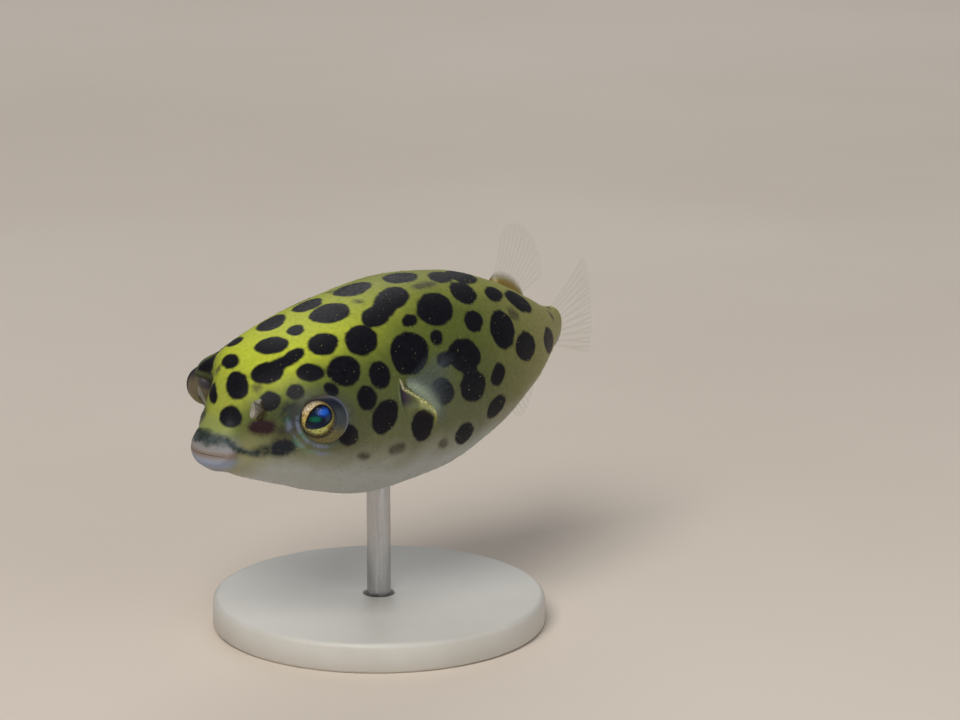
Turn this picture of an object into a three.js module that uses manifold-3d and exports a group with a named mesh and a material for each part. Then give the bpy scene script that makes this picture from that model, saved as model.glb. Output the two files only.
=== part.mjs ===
// A young freshwater pufferfish, life size, swimming, held on a plain round stand.
// Millimetres, +Z up. The head points to -X and the fish's left side faces -Y.
// The origin is the centre of the stand's underside.

import * as THREE from 'three';
import { mergeVertices } from 'three/addons/utils/BufferGeometryUtils.js';
import Module from 'manifold-3d';

const wasm = await Module();
wasm.setup();

// ---- driving dimensions -------------------------------------------------

const BODY_LENGTH = 45;          // lips to the root of the tail fin
const AXIS_HEIGHT = 20;          // body axis above the floor
const ROD_STATION = 20;          // the stand's rod meets the belly this far behind the lips
const GAP = 0.3;                 // clearance left between neighbouring pieces

const BEND_START = 27;           // the tail begins to turn here
const TAIL_TURN = degrees(22);   // and points this far to the fish's right at its root
const AXIS_STEP = 0.25;          // step along the body axis when the turn is summed

const LIP_DEPTH = 1.9;           // lips to the plane where the head begins
const MOUTH_HEIGHT = -1.3;       // level of the mouth slit, from the body axis
const MOUTH_SLIT = 0.4;
const LIP_BOUND = 8;             // no part of the lips is further than this from their middle
const GILL_STATION = 14.8;       // head meets trunk
const TAIL_STATION = 36.5;       // trunk meets tail

const EYE_RADIUS = 2.1;
const EYE_STATION = 7.4;
const EYE_OFFSET = 6.55;         // from the midline to the middle of the eye
const EYE_HEIGHT = 1.45;

const FIN_ROOT_THICKNESS = 0.9;
const FIN_EDGE_THICKNESS = 0.5;
const FIN_INSET = 0.8;           // fins are drawn from inside the body, then trimmed to it
const FAN_FULLNESS = 0.6;        // lower makes a fin's edge squarer
const WAVE_START = 0.2;          // where across a midline fin its sideways wave begins
const FIN_ACROSS = 10;           // facets across a fin and along its rays
const FIN_ALONG = 7;
const TAIL_FIN_ALONG = 9;

const DORSAL_START = 33.8;       // stations where the midline fins' roots begin and end
const DORSAL_END = 37.6;
const ANAL_START = 35.0;
const ANAL_END = 38.6;
const TAIL_FIN_INSET = 0.4;      // the tail fin's root is this much narrower than the tail above and below

const BASE_RADIUS = 14;
const BASE_THICKNESS = 2.6;
const BASE_CHAMFER = 0.5;
const ROD_RADIUS = 1.0;
const ROD_IN_BASE = 1.6;
const ROD_IN_BELLY = 2.5;

const AROUND_BODY = 44;          // facets round the body
const BODY_RING_STEP = 1.05;     // target spacing of the body's rings
const AROUND_ROD = 24;
const AROUND_BASE = 48;
const AROUND_EYE = 24;
const AROUND_LOBE = 10;
const SLOPE_STEP = 1e-3;         // step over which a surface's direction is measured
const WELD_DISTANCE = 1e-5;      // points closer than this are one point

// Cross-sections from the lips back: levels of back and belly, half width, the level
// where the section is widest, and how square its upper and lower halves are
// (2 is an ellipse).
const SECTIONS = [
  { at: 0.0, back: -0.2, belly: -2.3, half: 1.5, widest: -1.2, upper: 2.0, lower: 2.0 },
  { at: 0.8, back: 0.5, belly: -2.9, half: 2.3, widest: -1.2, upper: 2.0, lower: 2.0 },
  { at: 2.0, back: 1.9, belly: -3.2, half: 2.5, widest: -1.1, upper: 2.0, lower: 2.0 },
  { at: 3.2, back: 3.8, belly: -3.7, half: 3.9, widest: -0.8, upper: 2.0, lower: 2.0 },
  { at: 7.0, back: 6.5, belly: -5.1, half: 6.9, widest: -0.4, upper: 2.6, lower: 2.1 },
  { at: 11.0, back: 7.8, belly: -6.5, half: 8.0, widest: -0.4, upper: 2.5, lower: 2.1 },
  { at: 16.0, back: 9.1, belly: -7.6, half: 8.5, widest: -0.6, upper: 2.2, lower: 2.1 },
  { at: 22.0, back: 9.8, belly: -7.2, half: 8.5, widest: -0.6, upper: 2.1, lower: 2.1 },
  { at: 28.0, back: 9.2, belly: -5.4, half: 7.6, widest: -0.2, upper: 2.0, lower: 2.1 },
  { at: 33.0, back: 7.6, belly: -3.2, half: 5.8, widest: 0.4, upper: 2.0, lower: 2.0 },
  { at: 38.0, back: 5.3, belly: -1.5, half: 3.6, widest: 1.0, upper: 2.0, lower: 2.0 },
  { at: 42.0, back: 3.5, belly: -1.1, half: 2.1, widest: 1.2, upper: 2.0, lower: 2.0 },
  { at: 45.0, back: 2.6, belly: -1.2, half: 1.2, widest: 1.1, upper: 2.0, lower: 2.0 },
];

// ---- small helpers ------------------------------------------------------

function degrees(angle) {
  return angle * Math.PI / 180;
}

function blend(a, b, t) {
  return a + (b - a) * t;
}

function smoothStep(from, to, value) {
  const t = Math.min(Math.max((value - from) / (to - from), 0), 1);
  return t * t * (3 - 2 * t);
}

function signedPower(value, power) {
  return Math.sign(value) * Math.abs(value) ** power;
}

// ---- the form of the body -----------------------------------------------

// Slope of one measure at a section: none at a crest, else a harmonic mean of its
// neighbours, so that the curve never overshoots.
function sectionSlope(key, index) {
  const before = SECTIONS[Math.max(index - 1, 0)];
  const here = SECTIONS[index];
  const after = SECTIONS[Math.min(index + 1, SECTIONS.length - 1)];
  if (before === here) return (after[key] - here[key]) / (after.at - here.at);
  if (after === here) return (here[key] - before[key]) / (here.at - before.at);
  const backStep = here.at - before.at;
  const nextStep = after.at - here.at;
  const backSlope = (here[key] - before[key]) / backStep;
  const nextSlope = (after[key] - here[key]) / nextStep;
  if (backSlope * nextSlope <= 0) return 0;
  const backWeight = 2 * nextStep + backStep;
  const nextWeight = nextStep + 2 * backStep;
  return (backWeight + nextWeight) / (backWeight / backSlope + nextWeight / nextSlope);
}

function measure(key, at) {
  let i = 0;
  while (i < SECTIONS.length - 2 && SECTIONS[i + 1].at < at) i += 1;
  const span = SECTIONS[i + 1].at - SECTIONS[i].at;
  const t = Math.min(Math.max((at - SECTIONS[i].at) / span, 0), 1);
  const startRise = sectionSlope(key, i) * span;
  const endRise = sectionSlope(key, i + 1) * span;
  return (1 + 2 * t) * (1 - t) ** 2 * SECTIONS[i][key] + t * (1 - t) ** 2 * startRise
    + t * t * (3 - 2 * t) * SECTIONS[i + 1][key] + t * t * (t - 1) * endRise;
}

function heading(at) {
  return TAIL_TURN * smoothStep(BEND_START, BODY_LENGTH, at);
}

// From body measures (distance behind the lips, to the fish's right, up from the axis)
// to the model's frame, with the tail turned.
function place(at, right, up) {
  let x = -ROD_STATION + Math.min(at, BEND_START);
  let y = 0;
  const steps = Math.ceil(Math.max(at - BEND_START, 0) / AXIS_STEP);
  const step = steps > 0 ? (at - BEND_START) / steps : 0;
  for (let i = 0; i < steps; i += 1) {
    const turn = heading(BEND_START + (i + 0.5) * step);
    x += Math.cos(turn) * step;
    y += Math.sin(turn) * step;
  }
  const turn = heading(at);
  return new THREE.Vector3(
    x - right * Math.sin(turn), y + right * Math.cos(turn), AXIS_HEIGHT + up,
  );
}

// A point of the body's surface, grown outwards by `grow`. The angle is 0 on the back
// and a quarter turn on the fish's left.
function surfacePoint(at, angle, grow = 0) {
  const cosine = Math.cos(angle);
  const sine = Math.sin(angle);
  const widest = measure('widest', at);
  const half = measure('half', at) + grow;
  const isUpper = cosine >= 0;
  const power = 2 / measure(isUpper ? 'upper' : 'lower', at);
  const rise = isUpper ? measure('back', at) - widest : widest - measure('belly', at);
  const up = widest + (rise + grow) * signedPower(cosine, power);
  return place(at, -half * signedPower(sine, power), up);
}

// ---- making closed meshes -----------------------------------------------

// A closed tube through rings of equal count, capped flat at both ends.
function loftRings(rings) {
  const count = rings[0].length;
  const positions = [];
  const triangles = [];
  for (const ring of rings) {
    for (const point of ring) positions.push(point.x, point.y, point.z);
  }
  for (let i = 0; i + 1 < rings.length; i += 1) {
    for (let j = 0; j < count; j += 1) {
      const a = i * count + j;
      const b = i * count + (j + 1) % count;
      triangles.push(a, b, a + count, b, b + count, a + count);
    }
  }
  for (const end of [0, rings.length - 1]) {
    const middle = new THREE.Vector3();
    for (const point of rings[end]) middle.addScaledVector(point, 1 / count);
    const centre = positions.length / 3;
    positions.push(middle.x, middle.y, middle.z);
    for (let j = 0; j < count; j += 1) {
      const a = end * count + j;
      const b = end * count + (j + 1) % count;
      if (end === 0) triangles.push(centre, b, a);
      else triangles.push(centre, a, b);
    }
  }
  const geometry = new THREE.BufferGeometry();
  geometry.setAttribute('position', new THREE.Float32BufferAttribute(positions, 3));
  geometry.setIndex(triangles);
  return geometry;
}

// The stretch of the body between two distances behind the lips.
function bodyStretch(from, to, grow = 0) {
  const count = Math.ceil((to - from) / BODY_RING_STEP);
  const rings = [];
  for (let i = 0; i <= count; i += 1) {
    const at = blend(from, to, i / count);
    const ring = [];
    for (let j = 0; j < AROUND_BODY; j += 1) {
      ring.push(surfacePoint(at, j / AROUND_BODY * 2 * Math.PI, grow));
    }
    rings.push(ring);
  }
  return loftRings(rings);
}

function toSolid(geometry) {
  const bare = geometry.clone();
  bare.deleteAttribute('normal');
  bare.deleteAttribute('uv');
  const merged = mergeVertices(bare, WELD_DISTANCE);
  return new wasm.Manifold(new wasm.Mesh({
    numProp: 3,
    vertProperties: new Float32Array(merged.attributes.position.array),
    triVerts: new Uint32Array(merged.index.array),
  }));
}

function toGeometry(solid) {
  const mesh = solid.getMesh();
  const geometry = new THREE.BufferGeometry();
  geometry.setAttribute('position', new THREE.Float32BufferAttribute(mesh.vertProperties, 3));
  geometry.setIndex(new THREE.Uint32BufferAttribute(mesh.triVerts, 1));
  return geometry;
}

function roundRod(radius, from, to) {
  const rod = new THREE.CylinderGeometry(radius, radius, to - from, AROUND_ROD);
  return rod.rotateX(Math.PI / 2).translate(0, 0, (from + to) / 2);
}

function block(from, to) {
  const size = to.clone().sub(from);
  const middle = from.clone().add(to).multiplyScalar(0.5);
  return new THREE.BoxGeometry(size.x, size.y, size.z).translate(middle.x, middle.y, middle.z);
}

// ---- head, lips and eyes ------------------------------------------------

function eyeCentre(side) {
  return place(EYE_STATION, side * EYE_OFFSET, EYE_HEIGHT);
}

function eyeBall(side, radius) {
  const centre = eyeCentre(side);
  return new THREE.SphereGeometry(radius, AROUND_EYE, AROUND_EYE / 2)
    .translate(centre.x, centre.y, centre.z);
}

// A nasal flap: two short soft lobes on each side of the snout, leaning off its surface.
const FLAP_STATION = 3.3;
const FLAP_ANGLE = degrees(54);
const FLAP_SPREAD = degrees(26);
const FLAP_LOBE_RADIUS = 0.35;
const FLAP_LENGTH = 0.95;

function surfaceNormal(at, angle) {
  const here = surfacePoint(at, angle);
  const along = surfacePoint(at + SLOPE_STEP, angle).sub(here);
  const around = surfacePoint(at, angle + SLOPE_STEP).sub(here);
  return around.cross(along).normalize();
}

function nasalLobe(side, spread) {
  const angle = -side * FLAP_ANGLE;
  const outwards = surfaceNormal(FLAP_STATION, angle);
  const root = surfacePoint(FLAP_STATION, angle);
  const upright = new THREE.Vector3(0, 0, 1);
  const lobe = new THREE.SphereGeometry(1, AROUND_LOBE, AROUND_LOBE / 2 + 1).rotateX(Math.PI / 2);
  lobe.scale(FLAP_LOBE_RADIUS, FLAP_LOBE_RADIUS, FLAP_LENGTH).rotateY(spread);
  lobe.applyQuaternion(new THREE.Quaternion().setFromUnitVectors(upright, outwards));
  return lobe.translate(root.x, root.y, root.z);
}

function headGeometry() {
  let head = toSolid(bodyStretch(LIP_DEPTH + GAP / 2, GILL_STATION - GAP / 2));
  for (const side of [-1, 1]) {
    for (const spread of [-FLAP_SPREAD, FLAP_SPREAD]) {
      head = head.add(toSolid(nasalLobe(side, spread)));
    }
    head = head.subtract(toSolid(eyeBall(side, EYE_RADIUS + GAP)));
  }
  return toGeometry(head);
}

function lipGeometry(isUpper) {
  const lips = toSolid(bodyStretch(0, LIP_DEPTH - GAP / 2));
  const slit = AXIS_HEIGHT + MOUTH_HEIGHT;
  const [low, high] = isUpper
    ? [slit - LIP_BOUND, slit + MOUTH_SLIT / 2]
    : [slit - MOUTH_SLIT / 2, slit + LIP_BOUND];
  const away = block(
    new THREE.Vector3(-ROD_STATION - LIP_BOUND, -LIP_BOUND, low),
    new THREE.Vector3(-ROD_STATION + LIP_BOUND, LIP_BOUND, high),
  );
  return toGeometry(lips.subtract(toSolid(away)));
}

// ---- trunk and tail -----------------------------------------------------

function bellyLevel() {
  return AXIS_HEIGHT + measure('belly', ROD_STATION);
}

function trunkGeometry() {
  const trunk = toSolid(bodyStretch(GILL_STATION + GAP / 2, TAIL_STATION - GAP / 2));
  const hole = roundRod(ROD_RADIUS + GAP, 0, bellyLevel() + ROD_IN_BELLY + GAP);
  return toGeometry(trunk.subtract(toSolid(hole)));
}

function tailGeometry() {
  return bodyStretch(TAIL_STATION + GAP / 2, BODY_LENGTH);
}

// ---- fins ---------------------------------------------------------------

// A fin is a thin fan: `sheet(u, v)` gives its middle surface, with u across the rays
// and v along them. It thins from the root to the edge.
function finGeometry(sheet, across, along) {
  const rings = [];
  for (let j = 0; j <= along; j += 1) {
    const v = j / along;
    const thickness = blend(FIN_ROOT_THICKNESS, FIN_EDGE_THICKNESS, v);
    const front = [];
    const rear = [];
    for (let i = 0; i <= across; i += 1) {
      const u = i / across;
      const middle = sheet(u, v);
      const overU = sheet(u + SLOPE_STEP, v).sub(middle);
      const overV = sheet(u, v + SLOPE_STEP).sub(middle);
      const normal = overU.cross(overV).normalize();
      front.push(middle.clone().addScaledVector(normal, thickness / 2));
      rear.unshift(middle.clone().addScaledVector(normal, -thickness / 2));
    }
    rings.push([...front, ...rear]);
  }
  return loftRings(rings);
}

// Cuts away what lies inside the body, and the clearance round it.
function trimmedToBody(geometry) {
  const body = toSolid(bodyStretch(LIP_DEPTH, BODY_LENGTH + GAP, GAP));
  return toGeometry(toSolid(geometry).subtract(body));
}

// How long a ray is at u: rounded corners, fullest near the middle of the fan.
function rayReach(u, cornerReach) {
  const t = Math.min(Math.max(u, 0), 1);
  return blend(cornerReach, 1, Math.sin(Math.PI * t) ** FAN_FULLNESS);
}

// A fin on the midline. Its root runs between two points given as (at, up), its first and
// last rays lean at two angles measured up from straight back, and it waves a little.
function midlineFin({ rootStart, rootEnd, firstLean, lastLean, length, cornerReach, wave }) {
  return (u, v) => {
    const lean = blend(firstLean, lastLean, u);
    const reach = length * rayReach(u, cornerReach) * v;
    const at = blend(rootStart.at, rootEnd.at, u) + Math.cos(lean) * reach;
    const up = blend(rootStart.up, rootEnd.up, u) + Math.sin(lean) * reach;
    return place(at, wave * v * v * Math.sin(Math.PI * (u + WAVE_START)), up);
  };
}

function dorsalFinGeometry() {
  const sheet = midlineFin({
    rootStart: { at: DORSAL_START, up: measure('back', DORSAL_START) - FIN_INSET },
    rootEnd: { at: DORSAL_END, up: measure('back', DORSAL_END) - FIN_INSET },
    firstLean: degrees(66),
    lastLean: degrees(14),
    length: 7.4,
    cornerReach: 0.62,
    wave: 0.7,
  });
  return trimmedToBody(finGeometry(sheet, FIN_ACROSS, FIN_ALONG));
}

function analFinGeometry() {
  const sheet = midlineFin({
    rootStart: { at: ANAL_END, up: measure('belly', ANAL_END) + FIN_INSET },
    rootEnd: { at: ANAL_START, up: measure('belly', ANAL_START) + FIN_INSET },
    firstLean: degrees(-12),
    lastLean: degrees(-62),
    length: 6.6,
    cornerReach: 0.6,
    wave: 0.6,
  });
  return trimmedToBody(finGeometry(sheet, FIN_ACROSS, FIN_ALONG));
}

function caudalFinGeometry() {
  const root = BODY_LENGTH - FIN_INSET;
  const sheet = midlineFin({
    rootStart: { at: root, up: measure('back', BODY_LENGTH) - TAIL_FIN_INSET },
    rootEnd: { at: root, up: measure('belly', BODY_LENGTH) + TAIL_FIN_INSET },
    firstLean: degrees(17),
    lastLean: degrees(-17),
    length: 12.6,
    cornerReach: 0.82,
    wave: 0.5,
  });
  return trimmedToBody(finGeometry(sheet, FIN_ACROSS + 2, TAIL_FIN_ALONG));
}

// The paired fins fan out from the flank just behind the gill slit.
const PECTORAL_STATION = 16.3;
const PECTORAL_UP = 1.1;
const PECTORAL_ROOT = 3.2;       // height of the root
const PECTORAL_RAKE = 1.4;       // the root's lower end lies this far behind its middle
const PECTORAL_FLARE = degrees(34);
const PECTORAL_LENGTH = 6.4;
const PECTORAL_CORNER = 0.7;     // its first and last rays, as a share of the longest
const PECTORAL_FIRST_LEAN = degrees(50);
const PECTORAL_LAST_LEAN = degrees(-46);
const PECTORAL_CUP = 0.5;        // the outer edge curls out by this much

function flankRight(at, up) {
  const rise = Math.abs(up - measure('widest', at));
  const isUpper = up > measure('widest', at);
  const span = isUpper ? measure('back', at) - measure('widest', at)
    : measure('widest', at) - measure('belly', at);
  const square = measure(isUpper ? 'upper' : 'lower', at);
  return measure('half', at) * (1 - (rise / span) ** square) ** (1 / square);
}

function pectoralFinGeometry(side) {
  const sheet = (u, v) => {
    const t = u - 0.5;
    const lean = blend(PECTORAL_FIRST_LEAN, PECTORAL_LAST_LEAN, u);
    const reach = PECTORAL_LENGTH * rayReach(u, PECTORAL_CORNER) * v;
    const up = PECTORAL_UP - t * PECTORAL_ROOT;
    const at = PECTORAL_STATION + t * 2 * PECTORAL_RAKE;
    const out = flankRight(at, up) - FIN_INSET;
    const back = Math.cos(lean) * reach;
    const cupped = PECTORAL_CUP * v * v * Math.cos(Math.PI * t);
    return place(
      at + back * Math.cos(PECTORAL_FLARE),
      side * (out + back * Math.sin(PECTORAL_FLARE) + cupped),
      up + Math.sin(lean) * reach,
    );
  };
  const oriented = side > 0 ? sheet : (u, v) => sheet(1 - u, v);
  return trimmedToBody(finGeometry(oriented, FIN_ACROSS + 2, FIN_ALONG));
}

// ---- stand --------------------------------------------------------------

function standBaseGeometry() {
  const outline = [
    new THREE.Vector2(0, 0),
    new THREE.Vector2(BASE_RADIUS, 0),
    new THREE.Vector2(BASE_RADIUS, BASE_THICKNESS - BASE_CHAMFER),
    new THREE.Vector2(BASE_RADIUS - BASE_CHAMFER, BASE_THICKNESS),
    new THREE.Vector2(0, BASE_THICKNESS),
  ];
  const disc = new THREE.LatheGeometry(outline, AROUND_BASE).rotateX(Math.PI / 2);
  const hole = roundRod(ROD_RADIUS + GAP, BASE_THICKNESS - ROD_IN_BASE - GAP, BASE_THICKNESS + 1);
  return toGeometry(toSolid(disc).subtract(toSolid(hole)));
}

function standRodGeometry() {
  return roundRod(ROD_RADIUS, BASE_THICKNESS - ROD_IN_BASE, bellyLevel() + ROD_IN_BELLY);
}

// ---- the scene graph ----------------------------------------------------

const skinBack = { color: 0x9aa53c, roughness: 0.42, metalness: 0 };
const skinPale = { color: 0xb9b8ac, roughness: 0.4, metalness: 0 };
const eyeGloss = { color: 0x2b3a4a, roughness: 0.08, metalness: 0 };
const finClear = { color: 0xc9c8a6, roughness: 0.35, metalness: 0 };
const standPaint = { color: 0xd8d6d0, roughness: 0.6, metalness: 0 };
const rodMetal = { color: 0xb8babd, roughness: 0.3, metalness: 0.9 };

function part(name, geometry, finish) {
  const shown = geometry.index ? geometry.toNonIndexed() : geometry;
  shown.computeVertexNormals();
  const mesh = new THREE.Mesh(shown, new THREE.MeshStandardMaterial(finish));
  mesh.name = name;
  return mesh;
}

const fish = new THREE.Group();
fish.add(part('head', headGeometry(), skinBack));
fish.add(part('upper_lip', lipGeometry(true), skinPale));
fish.add(part('lower_lip', lipGeometry(false), skinPale));
fish.add(part('trunk', trunkGeometry(), skinBack));
fish.add(part('tail', tailGeometry(), skinBack));
fish.add(part('eye_left', eyeBall(-1, EYE_RADIUS), eyeGloss));
fish.add(part('eye_right', eyeBall(1, EYE_RADIUS), eyeGloss));
fish.add(part('dorsal_fin', dorsalFinGeometry(), finClear));
fish.add(part('anal_fin', analFinGeometry(), finClear));
fish.add(part('caudal_fin', caudalFinGeometry(), finClear));
fish.add(part('pectoral_fin_left', pectoralFinGeometry(-1), finClear));
fish.add(part('pectoral_fin_right', pectoralFinGeometry(1), finClear));

const stand = new THREE.Group();
stand.add(part('stand_base', standBaseGeometry(), standPaint));
stand.add(part('stand_rod', standRodGeometry(), rodMetal));

const model = new THREE.Group();
model.add(fish, stand);

export default model;
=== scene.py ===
"""A life-size green spotted pufferfish on a display stand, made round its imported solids."""

import bmesh
import bpy
import numpy as np
from numpy import clip, cos, cross, exp, pi, radians, sin, sqrt, where
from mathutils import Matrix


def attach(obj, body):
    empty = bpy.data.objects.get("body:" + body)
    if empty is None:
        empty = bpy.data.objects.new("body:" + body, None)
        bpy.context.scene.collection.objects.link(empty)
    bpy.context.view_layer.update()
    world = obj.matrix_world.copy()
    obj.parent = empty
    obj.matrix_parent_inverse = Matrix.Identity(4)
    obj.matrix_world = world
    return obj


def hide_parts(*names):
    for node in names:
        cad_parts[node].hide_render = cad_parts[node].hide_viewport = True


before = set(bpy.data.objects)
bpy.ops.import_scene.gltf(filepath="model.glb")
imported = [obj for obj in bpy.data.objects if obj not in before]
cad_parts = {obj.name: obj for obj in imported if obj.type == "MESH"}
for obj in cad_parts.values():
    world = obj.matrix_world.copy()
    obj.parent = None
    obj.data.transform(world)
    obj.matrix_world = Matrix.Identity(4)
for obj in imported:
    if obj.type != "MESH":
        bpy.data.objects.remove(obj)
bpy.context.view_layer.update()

MM = 0.001          # the sizes below are in millimetres
TINY = 1e-9
FAR_OUT = -9.0      # a depth that counts as well outside a marking
SIDES = {-1: "left", 1: "right"}

# ---- sizes of the fish and its stand ----

BODY_LENGTH = 45.0
AXIS_HEIGHT = 20.0
ROD_STATION = 20.0
BEND_START = 27.0
TAIL_TURN = radians(22)
SKIN_DEPTH = 0.1    # the skin lies this far inside the solids, under the prickles
FIN_INSET = 0.8
GILL_STATION = 15.1

# at, back, belly, half width, widest level, squareness above and below
SECTIONS = np.array((
    (0.0, -0.2, -2.3, 1.5, -1.2, 2.0, 2.0),
    (0.8, 0.5, -2.9, 2.3, -1.2, 2.0, 2.0),
    (2.0, 1.9, -3.2, 2.5, -1.1, 2.0, 2.0),
    (3.2, 3.8, -3.7, 3.9, -0.8, 2.0, 2.0),
    (7.0, 6.5, -5.1, 6.9, -0.4, 2.6, 2.1),
    (11.0, 7.8, -6.5, 8.0, -0.4, 2.5, 2.1),
    (16.0, 9.1, -7.6, 8.5, -0.6, 2.2, 2.1),
    (22.0, 9.8, -7.2, 8.5, -0.6, 2.1, 2.1),
    (28.0, 9.2, -5.4, 7.6, -0.2, 2.0, 2.1),
    (33.0, 7.6, -3.2, 5.8, 0.4, 2.0, 2.0),
    (38.0, 5.3, -1.5, 3.6, 1.0, 2.0, 2.0),
    (42.0, 3.5, -1.1, 2.1, 1.2, 2.0, 2.0),
    (45.0, 2.6, -1.2, 1.2, 1.1, 2.0, 2.0),
))

# The mouth: a closed slit between soft lips, with a shallow pocket behind it.
MOUTH_LEVEL = -1.3
MOUTH_HALF_WIDTH = 2.05
MOUTH_HALF_HEIGHT = 0.025
MOUTH_FRONT = 0.24
MOUTH_SWEEP = 0.72      # the mouth's corners lie this far behind its middle
MOUTH_POCKET = 0.9      # depth of the pocket behind the slit
LIP_STATION = 1.4
LIP_FULLNESS = 0.5

# The eyes: balls that look forward and out of a raised ring of skin.
# The left eye (-1) and the right (1), both given as on the left; the right one sits higher
# under its brow and shows less of its ball.
EYE_CENTRES = {-1: np.array((7.4 - ROD_STATION, -6.55, AXIS_HEIGHT + 1.45)),
               1: np.array((7.2 - ROD_STATION, -6.9, AXIS_HEIGHT + 1.85))}
EYE_RADII = {-1: 2.1, 1: 1.68}
IRIS_RADII = {-1: 1.45, 1: 1.32}
EYE_SOCKET_AXIS = (-0.55, -0.80, 0.22)
EYE_GAZES = {-1: (-0.85, -0.46, 0.24), 1: (-0.06, -0.99, 0.06)}    # each eye looks its own way
SOCKET_RADIUS = 1.93

# ---- curves and soft steps ----


def unit(vector):
    return np.array(vector) / np.linalg.norm(vector)


def row_units(vectors):
    return vectors / (np.linalg.norm(vectors, axis=-1, keepdims=True) + TINY)


def ease(start, end, value):
    t = clip((value - start) / (end - start), 0, 1)
    return t * t * (3 - 2 * t)


def bell(value, middle, width):
    return exp(-((value - middle) / width) ** 2)


def smooth_curve(stations, values, at):
    """A curve through the stations that never swings past them."""
    gap = np.diff(stations)
    rise = np.diff(values) / gap
    slope = np.concatenate(([rise[0]], np.zeros(len(gap) - 1), [rise[-1]]))
    for i in range(1, len(gap)):
        if rise[i - 1] * rise[i] > 0:
            near = 2 * gap[i] + gap[i - 1]
            far = gap[i] + 2 * gap[i - 1]
            slope[i] = (near + far) / (near / rise[i - 1] + far / rise[i])
    k = clip(np.searchsorted(stations, at) - 1, 0, len(gap) - 1)
    h = gap[k]
    t = (at - stations[k]) / h
    return ((1 + 2 * t) * (1 - t) ** 2 * values[k] + t * (1 - t) ** 2 * h * slope[k]
            + t * t * (3 - 2 * t) * values[k + 1] + t * t * (t - 1) * h * slope[k + 1])


def measure(at):
    """The body's section at a station: back, belly, half width, widest level, two squarenesses."""
    at = clip(np.asarray(at, float), 0, BODY_LENGTH)
    return [smooth_curve(SECTIONS[:, 0], SECTIONS[:, column], at) for column in range(1, 7)]


AXIS_STEP = 0.05
AXIS_STATIONS = np.arange(0, 70, AXIS_STEP)
AXIS_HEADING = TAIL_TURN * ease(BEND_START, BODY_LENGTH, AXIS_STATIONS)
AXIS_BACK, AXIS_RIGHT = (np.concatenate(([0], np.cumsum(way(AXIS_HEADING[:-1]) * AXIS_STEP)))
                         for way in (cos, sin))


def place(at, right, up):
    """A point at a station along the turned axis, this far to the fish's right and up."""
    at = np.asarray(at, float)
    heading = np.interp(at, AXIS_STATIONS, AXIS_HEADING)
    ahead = np.minimum(at, 0)
    x = np.interp(at, AXIS_STATIONS, AXIS_BACK) + ahead - right * sin(heading)
    y = np.interp(at, AXIS_STATIONS, AXIS_RIGHT) + right * cos(heading)
    return np.stack((x - ROD_STATION, y, up + AXIS_HEIGHT + 0 * x), axis=-1)


def plain_skin(at, angle):
    """The body's form at a station and an angle: 0 at the back, +90 degrees at the fish's left."""
    back, belly, half, widest, upper, lower = measure(at)
    cosine, sine = cos(angle), sin(angle)
    is_upper = cosine >= 0
    power = 2 / where(is_upper, upper, lower)
    span = where(is_upper, back - widest, widest - belly) - SKIN_DEPTH
    up = widest + span * np.sign(cosine) * np.abs(cosine) ** power
    return place(at, -(half - SKIN_DEPTH) * np.sign(sine) * np.abs(sine) ** power, up)


def outward(surface, at, angle):
    """The direction straight out of a surface given as a function of station and angle."""
    step = 0.02
    along = surface(at + step, angle) - surface(at - step, angle)
    around = surface(at, angle + step) - surface(at, angle - step)
    normal = row_units(cross(around, along))
    middle = place(at, 0.0, measure(at)[3])
    facing = np.sum(normal * (surface(at, angle) - middle), axis=-1, keepdims=True)
    return where(facing < 0, -normal, normal)


# ---- the form of the skin ----


def mirrored(vector, side):
    """side is -1 for the fish's left, +1 for its right."""
    return vector * np.array((1, -side, 1))


def round_the_eye(point, side):
    """Height over the eye's centre along its socket's axis, and distance from that axis."""
    axis = mirrored(unit(EYE_SOCKET_AXIS), side)
    offset = point - mirrored(EYE_CENTRES[side], side)
    height = offset @ axis
    return axis, height, np.linalg.norm(offset - height[..., None] * axis, axis=-1)


# The ring of skin round an eye: its height over the eye's centre at each distance from its axis.
RIM_REACH = np.array((0.0, 1.3, 1.8, 1.95, 2.1, 2.3, 2.7, 3.4, 4.6))
RIM_HEIGHT = np.array((-0.5, -0.2, 0.74, 0.82, 0.80, 0.72, 0.52, 0.2, -0.3))
SNOUT_WAY = (-0.80, -0.58, -0.15)       # from the right eye towards the snout
RIGHT_LID_DROP = 2.0    # the right socket's rim is this much lower towards the snout
RIGHT_LID_LIFT = 0.22   # and this much higher under the brow
RIGHT_BROW = 0.31       # the right brow stands this much prouder than the left
RIGHT_HOLLOW = 1.2      # and the snout is this much hollower before the right eye


def raise_eye_rims(point):
    """Dips the skin under each eyeball and lifts it in a soft ring round it."""
    for side in SIDES:
        axis, height, reach = round_the_eye(point, side)
        size = EYE_RADII[side] / EYE_RADII[-1]
        reach = reach / size
        wanted = size * smooth_curve(RIM_REACH, RIM_HEIGHT, np.minimum(reach, RIM_REACH[-1]))
        hold = (1 - ease(2.3, 4.5, reach)) * ease(-3.5, -2.0, height)
        if side > 0:
            way = row_units(point - mirrored(EYE_CENTRES[side], side))
            over = ease(0.25, 0.6, way[..., 2])
            ahead = ease(-0.35, 0.1, way @ unit(SNOUT_WAY)) * ease(1.2, 1.8, reach)
            wanted = wanted - RIGHT_LID_DROP * ahead * (1 - over)
            wanted = wanted + RIGHT_LID_LIFT * over * ease(1.0, 1.4, reach)
        point = point + (hold * (wanted - height))[..., None] * axis
    return point


def gill_path(angle):
    """The station of the gill slit at an angle, a shallow crescent that opens tailwards."""
    return GILL_STATION + 0.1 + 0.2 * ((angle - 1.3) / 0.25) ** 2


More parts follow.
